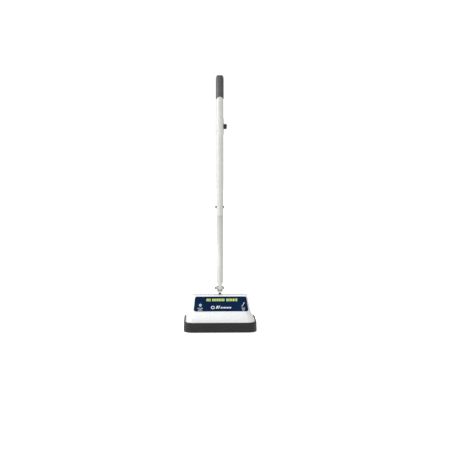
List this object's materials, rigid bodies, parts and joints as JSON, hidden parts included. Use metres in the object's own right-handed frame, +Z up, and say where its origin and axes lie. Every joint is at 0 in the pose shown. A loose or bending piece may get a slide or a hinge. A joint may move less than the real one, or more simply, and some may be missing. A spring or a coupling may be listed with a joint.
{
  "type": "twin-brush floor polisher",
  "caption": "Upright floor polisher: a low white head with a rubber bumper on counter-rotating round brushes, a folding two-piece tube handle, switch case and grip.",
  "frame": {"origin": "on the floor under the middle of the head, at the level of the bristle tips", "axes": "+Z up along the upright handle, -Y to the front (the label side), +X to the side with the switch"},
  "size_m": [0.3448, 0.2488, 1.204],
  "materials": {
    "bumper_rubber": "satin",
    "housing_plastic": "gloss",
    "label_film": "gloss",
    "deck_plastic": "matte",
    "cast_alloy": "satin",
    "screw_steel": "satin",
    "bearing_steel": "satin",
    "gear_nylon": "satin",
    "lamination_steel": "matte",
    "copper_wire": "satin",
    "brush_carbon": "matte",
    "black_plastic": "satin",
    "soft_black_rubber": "matte",
    "fork_paint": "satin",
    "plate_steel": "satin",
    "tube_paint": "gloss",
    "grip_vinyl": "satin",
    "case_plastic": "satin",
    "brush_plate": "satin",
    "hub_steel": "satin",
    "bristle_fibre": "matte"
  },
  "bodies": {
    "head": {"bumper": "bumper_rubber", "housing": "housing_plastic", "label_plate": "label_film", "deck": "deck_plastic", "gear_cover": "cast_alloy", "housing_screws": "screw_steel", "cover_screws": "screw_steel", "lower_spindle_bearings": "bearing_steel", "upper_spindle_bearings": "bearing_steel", "gear_axles": "bearing_steel", "motor_lower_frame": "cast_alloy", "motor_upper_frame": "cast_alloy", "motor_bearings": "bearing_steel", "field_core": "lamination_steel", "field_coils": "copper_wire", "motor_screws": "screw_steel", "carbon_brushes": "brush_carbon", "brush_holders": "black_plastic", "pivot_fork": "fork_paint", "friction_washers": "black_plastic", "pivot_bolt": "screw_steel", "pivot_nut": "screw_steel", "fork_stud": "screw_steel", "fork_grommet": "soft_black_rubber", "fork_backing_plate": "plate_steel", "fork_nut": "screw_steel"},
    "rotor": {"motor_shaft": "bearing_steel", "motor_pinion": "bearing_steel", "cooling_fan": "black_plastic", "armature_core": "lamination_steel", "armature_windings": "copper_wire", "commutator": "copper_wire"},
    "compound": {"compound_gear": "gear_nylon"},
    "idler": {"idler_gear": "gear_nylon"},
    "left_drive": {"left_spindle": "bearing_steel", "left_drive_gear": "gear_nylon", "left_spindle_collar": "black_plastic"},
    "right_drive": {"right_spindle": "bearing_steel", "right_drive_gear": "gear_nylon", "right_spindle_collar": "black_plastic"},
    "left_brush": {"left_brush_block": "brush_plate", "left_brush_hub": "hub_steel", "left_bristles": "bristle_fibre"},
    "right_brush": {"right_brush_block": "brush_plate", "right_brush_hub": "hub_steel", "right_bristles": "bristle_fibre"},
    "handle": {"lower_tube": "tube_paint", "upper_tube": "tube_paint", "pivot_bush": "gear_nylon", "joint_bolt": "screw_steel", "joint_nut": "screw_steel", "grip": "grip_vinyl", "switch_case_front": "case_plastic", "switch_case_rear": "case_plastic", "switch_case_screws": "screw_steel", "switch_bezel": "black_plastic", "switch_body": "black_plastic", "cord_gland": "soft_black_rubber"},
    "rocker": {"switch_rocker": "black_plastic"}
  },
  "joints": [
    {"name": "motor_spin", "type": "hinge", "parent": "head", "child": "rotor", "pos_m": [0, -0.00034, 0.11], "axis": [0, 0, 1], "continuous": true},
    {"name": "compound_spin", "type": "hinge", "parent": "head", "child": "compound", "pos_m": [-0.015, -0.03742, 0.065], "axis": [0, 0, 1], "continuous": true},
    {"name": "idler_spin", "type": "hinge", "parent": "head", "child": "idler", "pos_m": [0.015, -0.03742, 0.061], "axis": [0, 0, 1], "continuous": true},
    {"name": "left_spindle_spin", "type": "hinge", "parent": "head", "child": "left_drive", "pos_m": [-0.08, 0, 0.06], "axis": [0, 0, 1], "continuous": true},
    {"name": "right_spindle_spin", "type": "hinge", "parent": "head", "child": "right_drive", "pos_m": [0.08, 0, 0.06], "axis": [0, 0, 1], "continuous": true},
    {"name": "left_brush_pull_off", "type": "slide", "parent": "left_drive", "child": "left_brush", "axis": [0, 0, -1], "range_m": [0, 0.05]},
    {"name": "right_brush_pull_off", "type": "slide", "parent": "right_drive", "child": "right_brush", "axis": [0, 0, -1], "range_m": [0, 0.05]},
    {"name": "handle_tilt", "type": "hinge", "parent": "head", "child": "handle", "pos_m": [0, 0, 0.198], "axis": [-1, 0, 0], "range_deg": [0, 75]},
    {"name": "rocker_press", "type": "hinge", "parent": "handle", "child": "rocker", "pos_m": [0.026, 0, 0.9645], "axis": [0, -1, 0], "range_deg": [0, 14]}
  ],
  "couplings": [
    {"joint": "compound_spin", "follows": "motor_spin", "ratio": -0.21212},
    {"joint": "idler_spin", "follows": "motor_spin", "ratio": 0.21212},
    {"joint": "left_spindle_spin", "follows": "motor_spin", "ratio": 0.05303},
    {"joint": "right_spindle_spin", "follows": "motor_spin", "ratio": -0.05303}
  ]
}
